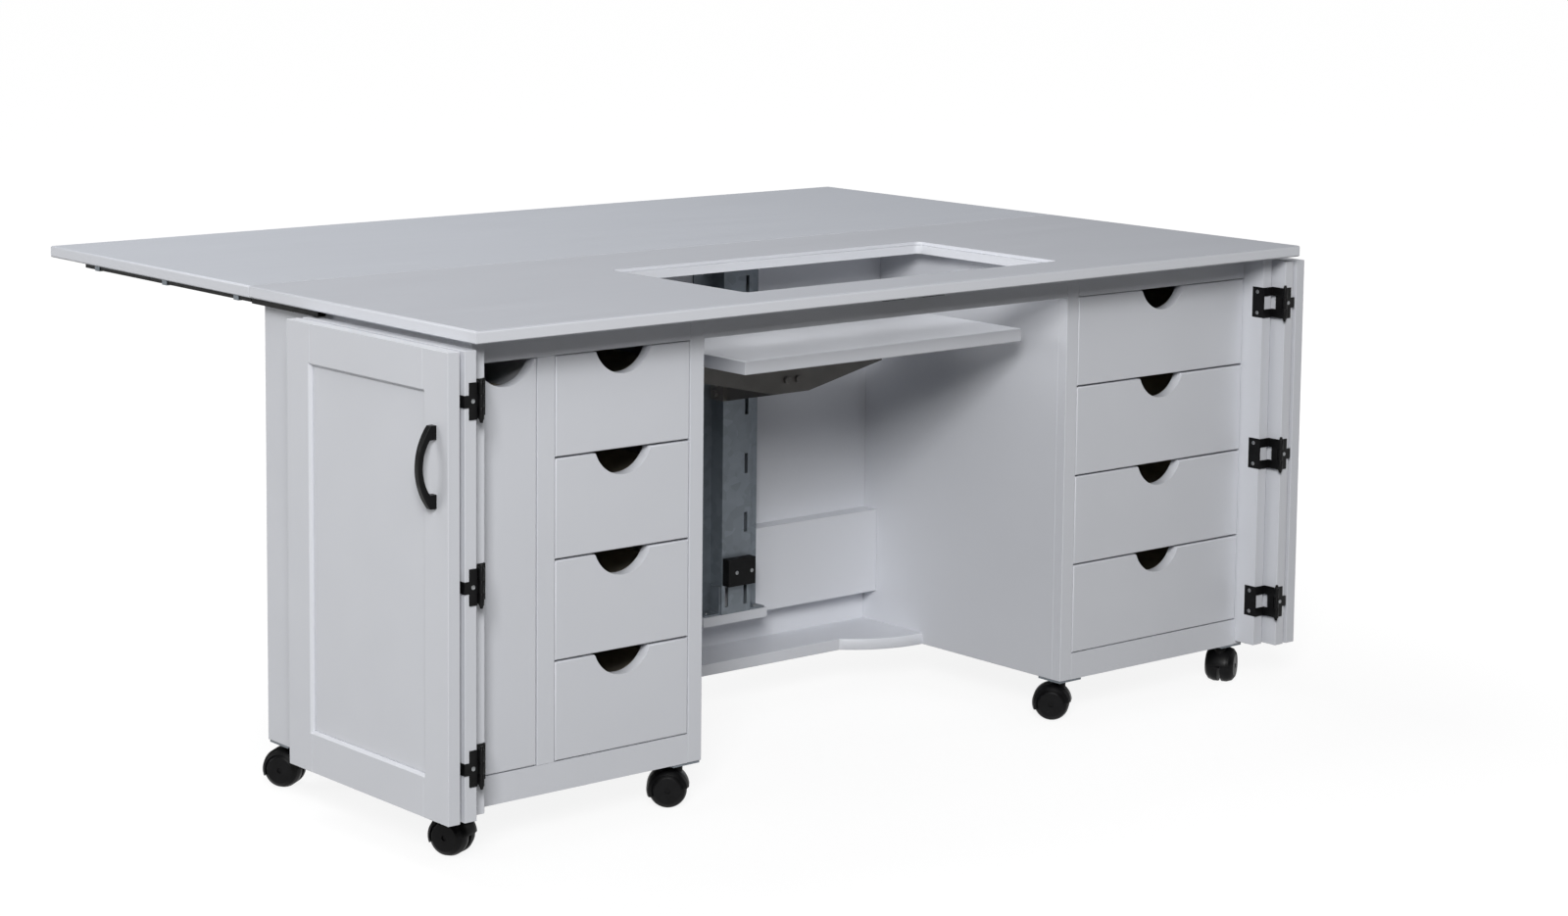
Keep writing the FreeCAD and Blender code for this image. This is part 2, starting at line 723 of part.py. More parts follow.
def door_pull():
    """An arched pull with block feet, on the good face of the outer door near its free edge."""
    level = door_low + handle_level_share * (door_high - door_low)
    y = door_front_y + handle_edge_distance - handle_width / 2
    face_x = outer_door_x[1]
    outer_z = handle_length / 2
    inner_z = outer_z - handle_foot_length

    def at(x, z):
        return point(face_x + x, y, level + z)

    def foot(first_z, last_z):
        corners = [at(handle_foot_height, first_z), at(0, first_z),
                   at(0, last_z), at(handle_foot_height, last_z)]
        return Part.makePolygon(corners).Edges

    def arch(first_z, crown):
        ends = [at(handle_foot_height, first_z), at(handle_foot_height, -first_z)]
        return [Part.Arc(ends[0], at(crown, 0), ends[1]).toShape()]

    outline = Part.Wire(foot(outer_z, inner_z) + arch(inner_z, handle_projection - handle_grip)
                        + foot(-inner_z, -outer_z) + arch(-outer_z, handle_projection))
    plain = Part.Face(outline).extrude(Y_AXIS * handle_width)
    round_edges = [edge for edge in plain.Edges if edge.Curve.TypeId == "Part::GeomCircle"]
    return [plain.makeFillet(handle_edge_radius, round_edges)]


def seam_hinges_on_top():
    return [leaf_hinge_half(x, -1) for x in leaf_hinge_places()]


def bar_channel(y_span):
    """Two walls and a floor round the path of a support bar, fixed under the worktop."""
    inner = grown(bar_x, bar_clearance)
    outer = grown(inner, bar_wall)
    floor_z = (bar_z[0] - bar_clearance - bar_wall, bar_z[0] - bar_clearance)
    return [board((outer[0], inner[0]), y_span, (floor_z[0], under_top)),
            board((inner[1], outer[1]), y_span, (floor_z[0], under_top)),
            board(inner, y_span, floor_z)]


def leaf_hardware():
    """What the leaf carries underneath: its seam hinge leaves and the guide straps of both bars."""
    guides = []
    for share in guide_shares:
        guides += bar_channel(about(bar_y[0] + share * (bar_y[1] - bar_y[0]), guide_length))
    return [leaf_hinge_half(x, 1) for x in leaf_hinge_places()] + guides + mirrored(guides)


def support_bar():
    return [board(bar_x, bar_y, bar_z)]


def keepers_and_catches():
    """The bar keepers under the main top, and the magnetic catches behind the meeting doors."""
    rear = pin_y - keeper_setback
    keeper = bar_channel((rear - keeper_length, rear))
    catch_y = (door_inner_y + catch_gap, door_inner_y + catch_gap + catch_depth)
    catch = board(about(catch_offset, catch_width), catch_y, (under_top - catch_height, under_top))
    return keeper + mirrored(keeper) + [catch] + mirrored([catch])


def lift_column():
    """The hat-section column of the lift, with slots in its front, and its two foot brackets."""
    half = column_width / 2
    wide = half + column_flange
    rear = ledge_front_y
    z_span = (column_foot, under_top - column_top_gap)

    def at(x, y):
        return point(opening_offset + x, y, z_span[0])

    outline = [at(-wide, rear), at(-wide, rear - column_wall), at(-half, rear - column_wall),
               at(-half, column_front_y), at(half, column_front_y), at(half, rear - column_wall),
               at(wide, rear - column_wall), at(wide, rear), at(half - column_wall, rear),
               at(half - column_wall, column_front_y + column_wall),
               at(-half + column_wall, column_front_y + column_wall), at(-half + column_wall, rear)]
    column = prism(outline, Z_AXIS * (z_span[1] - z_span[0]))
    places = [(slot_offset, z_span[0] + share * (z_span[1] - z_span[0])) for share in slot_shares]
    places += [(side * slot_offset, z_span[0] + foot_slot_level) for side in (-1, 1)]
    slot_y = (column_front_y - overrun, column_front_y + column_wall + overrun)
    slots = [board(about(opening_offset + x, slot_width), slot_y, about(z, slot_length)) for x, z in places]
    brackets = [prism(bracket_outline(), Y_AXIS * bracket_width)]
    brackets.append(brackets[0].mirror(point(opening_offset, 0, 0), X_AXIS))
    return [column.cut(slots)] + brackets


def bracket_outline():
    """The L-shaped end outline of a foot bracket, against the column's side and on the seat."""
    x = opening_offset + column_width / 2
    y = column_front_y + column_wall
    z = column_foot
    return [point(x, y, z), point(x + bracket_foot, y, z), point(x + bracket_foot, y, z + column_wall),
            point(x + column_wall, y, z + column_wall), point(x + column_wall, y, z + bracket_height),
            point(x, y, z + bracket_height)]


def lift_stop():
    """The block on the column that ends the lift's downward travel."""
    return [board(about(opening_offset, stop_width), (column_front_y - stop_thickness, column_front_y),
                  (stop_level, stop_level + stop_height))]


def carriage_channel():
    """The carriage's channel round the column."""
    half = column_width / 2 + carriage_clearance
    wide = half + carriage_wall
    rear = ledge_front_y - column_wall - carriage_flange_gap
    inside = column_front_y - carriage_clearance
    low = platform_bottom - carriage_height

    def at(x, y):
        return point(opening_offset + x, y, low)

    outline = [at(-wide, rear), at(-wide, carriage_front_y), at(wide, carriage_front_y), at(wide, rear),
               at(half, rear), at(half, inside), at(-half, inside), at(-half, rear)]
    return prism(outline, Z_AXIS * carriage_height)


def lift_carriage():
    """The welded carriage: channel, two arm plates that run on as ribs, and the tapered cross-beam."""
    top = platform_bottom
    beam_y = platform_y[1] - beam_setback - arm_wall
    rib_y = platform_y[0] + rib_front_gap
    pieces = [carriage_channel()]
    for side in (-1, 1):
        x = opening_offset + side * arm_width / 2 - arm_wall / 2
        outline = [point(x, carriage_front_y, top), point(x, rib_y, top),
                   point(x, rib_y, top - rib_end_height), point(x, beam_y, top - rib_root_height),
                   point(x, beam_y, top - beam_hub_height), point(x, carriage_front_y, top - carriage_height)]
        pieces.append(prism(outline, X_AXIS * arm_wall))
    half = beam_length / 2
    hub = beam_hub_width / 2

    def at(x, z):
        return point(opening_offset + x, beam_y, z)

    outline = [at(-half, top), at(half, top), at(half, top - beam_end_height), at(hub, top - beam_hub_height),
               at(-hub, top - beam_hub_height), at(-half, top - beam_end_height)]
    pieces.append(prism(outline, Y_AXIS * arm_wall))
    flange_y = (beam_y, beam_y + beam_depth)
    pieces.append(board(about(opening_offset, beam_length), flange_y, (top - arm_wall, top)))
    return [fused(pieces)]


def lift_platform():
    """The board that carries the machine."""
    return [rounded_board(platform_x, platform_y, (platform_bottom, platform_top), platform_edge_radius)]


def caster_places():
    """Name, place and heading of each caster: three under each pedestal."""
    outer_x = case_half - caster_inset
    inner_x = kneehole_half + caster_inset
    front_y = face_y + caster_inset
    rear_y = back_y - caster_inset
    return [("left_front_outer", -outer_x, front_y, 25.0), ("left_front_inner", -inner_x, front_y, 50.0),
            ("left_rear", -outer_x, rear_y, 35.0), ("right_front_inner", inner_x, front_y, 40.0),
            ("right_front_outer", outer_x, front_y, 300.0), ("right_rear", outer_x, rear_y, 60.0)]


def domed_outline(margin):
    """Half of the outline of the twin wheels across their axle, grown by a margin."""
    points = [(share_x * caster_half_width, share_r * wheel_radius + margin)
              for share_x, share_r in wheel_dome_shares]
    return [point(x, caster_trail, wheel_radius + r) for x, r in points]


def wheel_envelope(margin, half_width, sweep, start):
    """A solid turned about the axle from the domed outline, through a sweep that starts at an angle."""
    axle = point(0, caster_trail, wheel_radius)
    half = domed_outline(margin)
    half[-1].x = half_width
    other = [point(-place.x, place.y, place.z) for place in reversed(half)]
    points = [point(-half_width, axle.y, axle.z)] + other + half + [point(half_width, axle.y, axle.z)]
    face = Part.Face(Part.makePolygon(points + points[:1]))
    face.rotate(axle, X_AXIS, start)
    return face.revolve(axle, X_AXIS, sweep)


def along_axle(radius, half_length):
    """A cylinder centred on the axle's line."""
    return Part.makeCylinder(radius, 2 * half_length, point(-half_length, caster_trail, wheel_radius), X_AXIS)


def caster_hood():
    """A hood over twin wheels, with the middle web, axle, swivel boss and pivot."""
    start = -hood_sweep / 2 - hood_tilt
    boss_top = caster_height - caster_plate_thickness - caster_plate_gap
    shell = wheel_envelope(hood_clearance + hood_wall, caster_half_width, hood_sweep, start)
    boss = upright(boss_radius, 0, 0, (wheel_radius, boss_top))
    inside = wheel_envelope(hood_clearance, caster_half_width + overrun, 360, 0)
    web_share = wheel_envelope(hood_clearance + hood_wall / 2, caster_half_width, hood_sweep, start)
    web = web_share.common(along_axle(wheel_radius + hood_clearance + hood_wall / 2, caster_web / 2))
    hub = along_axle(axle_radius + caster_web / 2, caster_web / 2)
    pivot = upright(pivot_radius, 0, 0, (boss_top, boss_top + caster_plate_gap + pivot_depth))
    axle = along_axle(axle_radius, caster_half_width - caster_web / 2)
    return fused([fused([shell, boss]).cut(inside), web, hub, axle, pivot])


def caster_wheels():
    """A pair of domed wheels."""
    near = caster_web / 2 + wheel_side_gap
    axle = point(0, caster_trail, wheel_radius)
    outline = domed_outline(0)
    points = [point(near, axle.y, axle.z), point(near, axle.y, axle.z + wheel_radius)] + outline
    points.append(point(caster_half_width, axle.y, axle.z))
    turned = Part.Face(Part.makePolygon(points + points[:1])).revolve(axle, X_AXIS, 360)
    wheel = turned.cut(along_axle(axle_radius + running_clearance, caster_half_width + overrun))
    return [wheel] + mirrored([wheel])


def placed(solids, x, y, heading):
    """Copies of solids turned to a heading and moved to a caster's place."""
    copies = []
    for solid in solids:
        copy = solid.copy()
        copy.rotate(ORIGIN, Z_AXIS, heading)
        copy.translate(point(x, y, 0))
        copies.append(copy)
    return copies


def caster_plates():
    """The fixed plates of the casters, with the bores for their pivots."""
    plates = []
    z_span = (caster_height - caster_plate_thickness, caster_height)
    for name, x, y, heading in caster_places():
        plate = board(about(x, caster_plate_size), about(y, caster_plate_size), z_span)
        bore_z = (z_span[0] - overrun, z_span[0] + pivot_depth + caster_plate_gap)
        plates.append(plate.cut(upright(pivot_radius + running_clearance, x, y, bore_z)))
    return plates


def save(name, solids):
    """Write one node, as a single solid or as a group of separate solids."""
    shape = solids[0] if len(solids) == 1 else Part.makeCompound(solids)
    shape.exportStep("parts/" + name + ".step")


def main():
    os.makedirs("parts", exist_ok=True)
    save("main_top", main_top())
    save("rear_leaf", rear_leaf())
    save("left_case", left_case())
    save("right_case", right_case())
    save("face_frame", face_frame())
    save("kneehole_back", kneehole_back())
    save("kneehole_shelf", kneehole_shelf())
    save("drawer_slides", drawer_slides())
    for side, name in ((-1, "left"), (1, "right")):
        for row in range(drawer_rows):
            label = "%s_drawer_%d" % (name, drawer_rows - row)
            save(label + "_front", drawer_front(side, row))
            save(label + "_box", drawer_box(side, row))
    save("pullout_front", pullout_front())
    save("pullout_rack", pullout_rack())
    save("case_hinges", case_hinges())
    right_pieces = {"inner_door": door(inner_door_x, -1), "outer_door": door(outer_door_x, 1),
                    "inner_door_hinges": inner_door_hinges(), "outer_door_hinges": outer_door_hinges(),
                    "door_pull": door_pull(), "support_bar": support_bar()}
    for name, solids in right_pieces.items():
        save("right_" + name, solids)
        save("left_" + name, mirrored(solids))
    save("seam_hinges", seam_hinges_on_top())
    save("leaf_hardware", leaf_hardware())
    save("keepers_and_catches", keepers_and_catches())
    save("lift_column", lift_column())
    save("lift_stop", lift_stop())
    save("lift_carriage", lift_carriage())
    save("lift_platform", lift_platform())
    save("caster_plates", caster_plates())
    hood = [caster_hood()]
    wheels = caster_wheels()
    for name, x, y, heading in caster_places():
        save(name + "_caster_hood", placed(hood, x, y, heading))
        save(name + "_caster_wheels", placed(wheels, x, y, heading))


main()
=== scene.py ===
"""The looks of the sewing cabinet: camera, light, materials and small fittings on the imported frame."""

import json
import math

import bmesh
import bpy
from mathutils import Matrix, Vector


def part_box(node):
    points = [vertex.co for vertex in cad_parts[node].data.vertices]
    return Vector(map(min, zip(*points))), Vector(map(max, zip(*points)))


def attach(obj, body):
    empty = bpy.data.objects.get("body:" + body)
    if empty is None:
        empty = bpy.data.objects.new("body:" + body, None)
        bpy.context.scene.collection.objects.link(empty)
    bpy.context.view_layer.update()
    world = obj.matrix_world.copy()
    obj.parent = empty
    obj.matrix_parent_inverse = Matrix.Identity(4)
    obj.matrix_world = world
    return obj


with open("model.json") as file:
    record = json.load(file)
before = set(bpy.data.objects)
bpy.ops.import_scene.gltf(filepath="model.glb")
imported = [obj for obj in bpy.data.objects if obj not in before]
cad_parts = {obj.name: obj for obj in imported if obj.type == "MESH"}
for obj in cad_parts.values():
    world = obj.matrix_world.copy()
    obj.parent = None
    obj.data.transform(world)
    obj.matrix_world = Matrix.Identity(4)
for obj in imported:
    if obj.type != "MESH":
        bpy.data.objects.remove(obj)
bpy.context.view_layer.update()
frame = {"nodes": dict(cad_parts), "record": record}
nodes = frame["nodes"]

FORWARD = Vector((0, -1, 0))
UP = Vector((0, 0, 1))
DOWN = Vector((0, 0, -1))

# The camera as solved from the photograph, in metres, degrees and pixels of the whole image
IMAGE_WIDTH = 1600
IMAGE_HEIGHT = 935
CAMERA_PLACE = Vector((-3.4277, -4.2601, 1.4265))
CAMERA_YAW = 39.88
CAMERA_PITCH = 6.77
CAMERA_ROLL = 0.51
FOCAL_PIXELS = 3350.7
PRINCIPAL_POINT = (759.9, 249.8)
SENSOR_MM = 36.0

# Softboxes aimed at one place, each with an azimuth left of the front, an elevation, a distance,
# a size and a power, in degrees, metres and watts, and the strength of the light from all round
LAMP_AIM = Vector((0.0, -0.2, 0.45))
LAMPS = {"key": (42.0, 26.0, 9.0, 2.4, 598.0),
         "high": (35.0, 40.0, 6.0, 2.2, 57.0),
         "left": (122.0, 18.0, 6.0, 2.2, 70.0),
         "right": (282.0, 18.0, 6.0, 2.2, 55.0),
         "over": (165.0, 58.0, 4.6, 3.0, 130.0)}
WORLD_STRENGTH = 0.025

# The floor: its size in metres, its surface, and a white glow that rises between two distances
FLOOR_SIZE = 60.0
FLOOR_GREY = (0.13, 0.13, 0.13)
FLOOR_ROUGHNESS = 0.9
FLOOR_GLOW = (0.88, 0.99)
FLOOR_GLOW_REACH = (1.2, 2.8)

# Colours, linear
WHITE = (1.0, 1.0, 1.0)
WHITE_PAINT = (0.638, 0.652, 0.69)
TOP_LAMINATE = (0.49, 0.505, 0.545)
LEAF_LAMINATE = (0.51, 0.53, 0.575)
# A painted highlight: the lighter colour given to the laminate's upright edges, where the light falls on
# them
PAINTED_EDGE_HIGHLIGHT = (0.68, 0.695, 0.735)
BOX_WOOD = (0.52, 0.47, 0.40)
ZINC = (0.18, 0.205, 0.23)
ARM_PAINT = (0.15, 0.142, 0.130)
BLACK = (0.004, 0.004, 0.0043)
WHEEL_BLACK = (0.005, 0.005, 0.0054)
SCREW_STEEL = (0.30, 0.31, 0.32)

# Factors on the coordinates of a noise, of which a small one draws it out along its axis
UPRIGHT_GRAIN = (1, 1, 0.05)
LEVEL_GRAIN = (0.05, 1, 1)
LAMINATE_STREAKS = (0.12, 1, 1)
BOX_FIGURE = (1, 0.06, 1)
BOX_GRAIN = (1, 0.05, 1)

# The values between which a colour goes from low to high: the middle of their range, or all of it
MIDDLE_STOPS = (0.3, 0.7)
FULL_STOPS = (0.0, 1.0)

# Softened edges, in metres, and the grid on which corners count as the same place
BOARD_EDGE = 0.0009
METAL_EDGE = 0.0004
EDGE_SEGMENTS = 2
SHARP_ANGLE = math.radians(35)
WELD_DISTANCE = 0.00002
PLACE_GRID = 0.000025
BOARD_SLOTS = ("laminate", "white_board", "drawer_wood")

# Heads of screws and bolts: sizes in metres, and shares of a head's radius or height
HEAD_SIDES = 24
ROUND_OUTLINE = [1.0] * HEAD_SIDES
SCREW_RADIUS = 0.0034
SCREW_HEIGHT = 0.0010
FLUSH_HEIGHT = 0.0004
SCREW_SHOULDER_HEIGHT = 0.6
SCREW_SHOULDER_WIDTH = 0.95
SCREW_CROWN_WIDTH = 0.74
RECESS_DEPTH = 0.7
RECESS_FLOOR_WIDTH = 0.8
CROSS_REACH = 0.52
CROSS_WAIST = 0.2
CROSS_ARM_SIDES = 2
BOLT_RADIUS = 0.0065
BOLT_HEIGHT = 0.0045
BOLT_CHAMFER_HEIGHT = 0.75
BOLT_CROWN_WIDTH = 0.8

# Places of the fittings in metres from the pieces that carry them, and shares of those pieces' lengths
HINGE_SHARES = (-0.385, 0.002, 0.394)
HINGE_PLATE = 0.0020
POST_WIDTH = 0.0210
LEG_SCREW_INSET = 0.0110
LEG_SCREW_RISE = 0.0180
LEAF_SCREW_INSET = 0.0070
FOLD_PLATE = 0.0015
FOLD_SCREW_INSET = 0.0080
FOLD_SCREW_RISE = 0.0170
SEAM_HINGE_SHARES = (-0.36, -0.12, 0.12, 0.36)
SEAM_SCREW_REACH = 0.0200
SEAM_SCREW_SPREAD = 0.0240
STOP_SCREW_SHARES = (0.30, 0.86)
COLUMN_WALL = 0.0030
FLANGE_SCREW_OFFSET = 0.0520
BRACKET_SCREW_OFFSET = 0.0520
BRACKET_SCREW_SETBACK = 0.0150
CASTER_INSET = 0.0270
CASTER_SCREW_SPREAD = 0.0180
BEAM_SETBACK = 0.0380
HUB_BOLT_SPREAD = 0.0120
HUB_BOLT_DROP = 0.0640
CHEEK_OFFSET = 0.0355
CHEEK_BOLT_SETBACK = 0.0150
CHEEK_BOLT_DROPS = (0.0880, 0.1040)

# Heights of the column's screws over the floor
FLANGE_SCREW_LEVELS = (0.19, 0.265, 0.705, 0.737)


def add_object(name, data):
    """A new object in the scene."""
    added = bpy.data.objects.new(name, data)
    bpy.context.scene.collection.objects.link(added)
    return added


def make_camera():
    """The camera at the photograph's place and angle."""
    yaw, pitch, roll = (math.radians(v) for v in (CAMERA_YAW, CAMERA_PITCH, CAMERA_ROLL))
    ahead = Vector((math.sin(yaw) * math.cos(pitch), math.cos(yaw) * math.cos(pitch), -math.sin(pitch)))
    level = Vector((math.cos(yaw), -math.sin(yaw), 0))
    raised = level.cross(ahead)
    right = math.cos(roll) * level + math.sin(roll) * raised
    up = math.cos(roll) * raised - math.sin(roll) * level
    data = bpy.data.cameras.new("camera")
    data.sensor_width = SENSOR_MM
    data.lens = FOCAL_PIXELS / IMAGE_WIDTH * SENSOR_MM
    data.shift_x = 0.5 - PRINCIPAL_POINT[0] / IMAGE_WIDTH
    data.shift_y = (PRINCIPAL_POINT[1] - IMAGE_HEIGHT / 2) / IMAGE_WIDTH
    camera = add_object("camera", data)
    facing = Matrix((right, up, -ahead)).transposed().to_4x4()
    camera.matrix_world = Matrix.Translation(CAMERA_PLACE) @ facing
    bpy.context.scene.camera = camera


def make_lamp(name, azimuth, elevation, distance, size, power):
    """A square softbox aimed at the cabinet."""
    data = bpy.data.lights.new(name, "AREA")
    data.size = size
    data.energy = power
    turn, rise = math.radians(azimuth), math.radians(elevation)
    away = Vector((-math.cos(rise) * math.sin(turn), -math.cos(rise) * math.cos(turn), math.sin(rise)))
    facing = (-away).to_track_quat("-Z", "Y").to_matrix().to_4x4()
    add_object(name, data).matrix_world = Matrix.Translation(LAMP_AIM + distance * away) @ facing


def make_world():
    """Even white light from all round."""
    world = bpy.data.worlds.new("studio")
    world.use_nodes = True
    background = world.node_tree.nodes["Background"]
    background.inputs["Color"].default_value = (*WHITE, 1)
    background.inputs["Strength"].default_value = WORLD_STRENGTH
    bpy.context.scene.world = world


def computed(tree, operation, *values):
    """The result of a math node on the outputs of other nodes."""
    node = tree.nodes.new("ShaderNodeMath")
    node.operation = operation
    for value, socket in zip(values, node.inputs):
        tree.links.new(value, socket)
    return node.outputs["Value"]


def glow_by_distance(tree):
    """A strength that rises with the distance from the middle of the floor."""
    away = tree.nodes.new("ShaderNodeVectorMath")
    away.operation = "LENGTH"
    tree.links.new(tree.nodes.new("ShaderNodeTexCoord").outputs["Object"], away.inputs[0])
    rise = tree.nodes.new("ShaderNodeMapRange")
    rise.interpolation_type = "SMOOTHSTEP"
    for name, value in zip(("From Min", "From Max", "To Min", "To Max"), FLOOR_GLOW_REACH + FLOOR_GLOW):
        rise.inputs[name].default_value = value
    tree.links.new(away.outputs["Value"], rise.inputs["Value"])
    return rise.outputs["Result"]


def floor_surface():
    """A grey that sends little light back up, with a glow for the camera, mirrors and glass alone."""
    material = bpy.data.materials.new("floor")
    material.use_nodes = True
    tree = material.node_tree
    shader = tree.nodes["Principled BSDF"]
    shader.inputs["Base Color"].default_value = (*FLOOR_GREY, 1)
    shader.inputs["Roughness"].default_value = FLOOR_ROUGHNESS
    shader.inputs["Emission Color"].default_value = (*WHITE, 1)
    path = tree.nodes.new("ShaderNodeLightPath")
    seen = path.outputs["Is Camera Ray"]
    for name in ("Is Glossy Ray", "Is Transmission Ray"):
        seen = computed(tree, "MAXIMUM", seen, path.outputs[name])
    glow = computed(tree, "MULTIPLY", seen, glow_by_distance(tree))
    tree.links.new(glow, shader.inputs["Emission Strength"])
    return material


def make_floor():
    """A plain floor that looks white away from the cabinet and shows its soft shadow."""
    half = FLOOR_SIZE / 2
    corners = [(-half, -half, 0), (half, -half, 0), (half, half, 0), (-half, half, 0)]
    mesh = bpy.data.meshes.new("floor")
    mesh.from_pydata(corners, [], [(0, 1, 2, 3)])
    mesh.materials.append(floor_surface())
    floor = add_object("floor", mesh)


class Surface:
    """A procedural material under construction, with textures in the cabinet's own coordinates."""

    def __init__(self, name, roughness=0.5, metallic=0.0, shine=0.5):
        self.material = bpy.data.materials.new(name)
        self.material.use_nodes = True
        self.tree = self.material.node_tree
        self.shader = self.tree.nodes["Principled BSDF"]
        self.shader.inputs["Roughness"].default_value = roughness
        self.shader.inputs["Metallic"].default_value = metallic
        self.shader.inputs["Specular IOR Level"].default_value = shine
        self.place = self.tree.nodes.new("ShaderNodeTexCoord").outputs["Object"]

    def stretched(self, scale):
        """The coordinates multiplied along each axis."""
        mapping = self.tree.nodes.new("ShaderNodeMapping")
        mapping.inputs["Scale"].default_value = scale
        self.tree.links.new(self.place, mapping.inputs["Vector"])
        return mapping.outputs["Vector"]

    def noise(self, scale, detail=4.0, stretch=(1, 1, 1)):
        """Fractal noise with a scale in cycles a metre."""
        node = self.tree.nodes.new("ShaderNodeTexNoise")
        node.inputs["Scale"].default_value = scale
        node.inputs["Detail"].default_value = detail
        self.tree.links.new(self.stretched(stretch), node.inputs["Vector"])
        return node.outputs["Fac"]

    def cells(self, scale):
        """A random value for each cell of a crystal pattern."""
        node = self.tree.nodes.new("ShaderNodeTexVoronoi")
        node.inputs["Scale"].default_value = scale
        self.tree.links.new(self.place, node.inputs["Vector"])
        split = self.tree.nodes.new("ShaderNodeSeparateColor")
        self.tree.links.new(node.outputs["Color"], split.inputs["Color"])
        return split.outputs["Red"]

    def levelness(self):
        """One on faces that lie level, none on upright ones."""
        facing = self.tree.nodes.new("ShaderNodeTexCoord").outputs["Normal"]
        split = self.tree.nodes.new("ShaderNodeSeparateXYZ")
        self.tree.links.new(facing, split.inputs["Vector"])
        return computed(self.tree, "ABSOLUTE", split.outputs["Z"])

    def graded(self, value, low, high, stops=MIDDLE_STOPS):
        """A colour or grey that goes from low to high with a value."""
        ramp = self.tree.nodes.new("ShaderNodeValToRGB")
        for element, stop, colour in zip(ramp.color_ramp.elements, stops, (low, high)):
            element.position = stop
            element.color = (*colour, 1)
        self.tree.links.new(value, ramp.inputs["Fac"])
        return ramp.outputs["Color"]

    def paint(self, value, low, high, stops=MIDDLE_STOPS):
        """Colour the surface from low to high with a value."""
        self.tree.links.new(self.graded(value, low, high, stops), self.shader.inputs["Base Color"])

    def mottle(self, value, base, spread, stops=MIDDLE_STOPS):
        """Colour the surface round a base colour, darker and lighter by a spread."""
        low = tuple(channel * (1 - spread) for channel in base)
        high = tuple(channel * (1 + spread) for channel in base)
        self.paint(value, low, high, stops)

    def gloss(self, value, low, high):
        """Vary the roughness between two values."""
        self.tree.links.new(self.graded(value, (low,) * 3, (high,) * 3), self.shader.inputs["Roughness"])

    def relief(self, value, height, strength):
        """Raise the surface by a height in metres."""
        bump = self.tree.nodes.new("ShaderNodeBump")
        bump.inputs["Strength"].default_value = strength
        bump.inputs["Distance"].default_value = height
        self.tree.links.new(value, bump.inputs["Height"])
        self.tree.links.new(bump.outputs["Normal"], self.shader.inputs["Normal"])


def white_paint(name, grain):
    """Satin white paint that lets a little of the grain of the wood through."""
    surface = Surface(name)
    surface.mottle(surface.noise(scale=3.0), WHITE_PAINT, spread=0.012)
    surface.gloss(surface.noise(scale=14.0), low=0.36, high=0.50)
    surface.relief(surface.noise(scale=60.0, detail=6.0, stretch=grain), height=0.0004, strength=0.10)
    return surface.material


def laminate(name, face):
    """Smooth satin laminate with faint streaks along the board, and a painted highlight on its upright
    edges.
    """
    surface = Surface(name, shine=0.3)
    # Upright faces take the lighter colour, a painted highlight of the front light on the edges
    surface.paint(surface.levelness(), PAINTED_EDGE_HIGHLIGHT, face)
    surface.gloss(surface.noise(scale=22.0, detail=6.0, stretch=LAMINATE_STREAKS), low=0.46, high=0.52)
    surface.relief(surface.noise(scale=900.0, detail=3.0), height=0.0001, strength=0.2)
    return surface.material


def box_wood():
    """Clear-coated birch of the drawer boxes, with its grain along the boards."""
    surface = Surface("box_wood", roughness=0.45)
    surface.mottle(surface.noise(scale=40.0, detail=8.0, stretch=BOX_FIGURE), BOX_WOOD, spread=0.14)
    surface.relief(surface.noise(scale=160.0, detail=6.0, stretch=BOX_GRAIN), height=0.0003, strength=0.3)
    return surface.material


def zinc_steel():
    """Galvanised steel with its crystal pattern."""
    surface = Surface("zinc_steel", metallic=0.4)
    surface.mottle(surface.cells(scale=70.0), ZINC, spread=0.10, stops=FULL_STOPS)
    surface.gloss(surface.noise(scale=30.0), low=0.28, high=0.48)
    surface.relief(surface.noise(scale=400.0, detail=3.0), height=0.0001, strength=0.15)
    return surface.material


def arm_paint():
    """Dark satin paint on the lift's steel."""
    surface = Surface("arm_paint")
    surface.mottle(surface.noise(scale=18.0), ARM_PAINT, spread=0.12)
    surface.gloss(surface.noise(scale=40.0), low=0.42, high=0.58)
    surface.relief(surface.noise(scale=700.0, detail=2.0), height=0.0002, strength=0.25)
    return surface.material


def black_metal():
    """Black powder coat with a fine orange-peel."""
    surface = Surface("black_metal", shine=0.14)
    surface.mottle(surface.noise(scale=90.0), BLACK, spread=0.25)
    surface.gloss(surface.noise(scale=60.0), low=0.34, high=0.52)
    surface.relief(surface.noise(scale=600.0, detail=2.0), height=0.0003, strength=0.3)
    return surface.material


def black_plastic():
    """Moulded black nylon, with the light scuffs of rolling."""
    surface = Surface("black_plastic", shine=0.12)
    surface.mottle(surface.noise(scale=70.0), WHEEL_BLACK, spread=0.3)
    surface.gloss(surface.noise(scale=45.0), low=0.30, high=0.55)
    surface.relief(surface.noise(scale=1100.0, detail=2.0), height=0.0002, strength=0.25)
    return surface.material


def screw_steel():
    """Bright plated steel of the screws."""
    surface = Surface("screw_steel", metallic=0.8)
    surface.mottle(surface.noise(scale=300.0), SCREW_STEEL, spread=0.12)
    surface.gloss(surface.noise(scale=500.0), low=0.28, high=0.45)
    return surface.material


def make_materials():
    """A material for each slot, and one each for the rear leaf and for boards with level grain."""
    return {"laminate": laminate("top_laminate", TOP_LAMINATE),
            "leaf_laminate": laminate("leaf_laminate", LEAF_LAMINATE),
            "white_board": white_paint("white_paint_upright", UPRIGHT_GRAIN),
            "level_board": white_paint("white_paint_level", LEVEL_GRAIN),
            "drawer_wood": box_wood(),
            "zinc_steel": zinc_steel(),
            "arm_steel": arm_paint(),
            "black_metal": black_metal(),
            "black_plastic": black_plastic()}


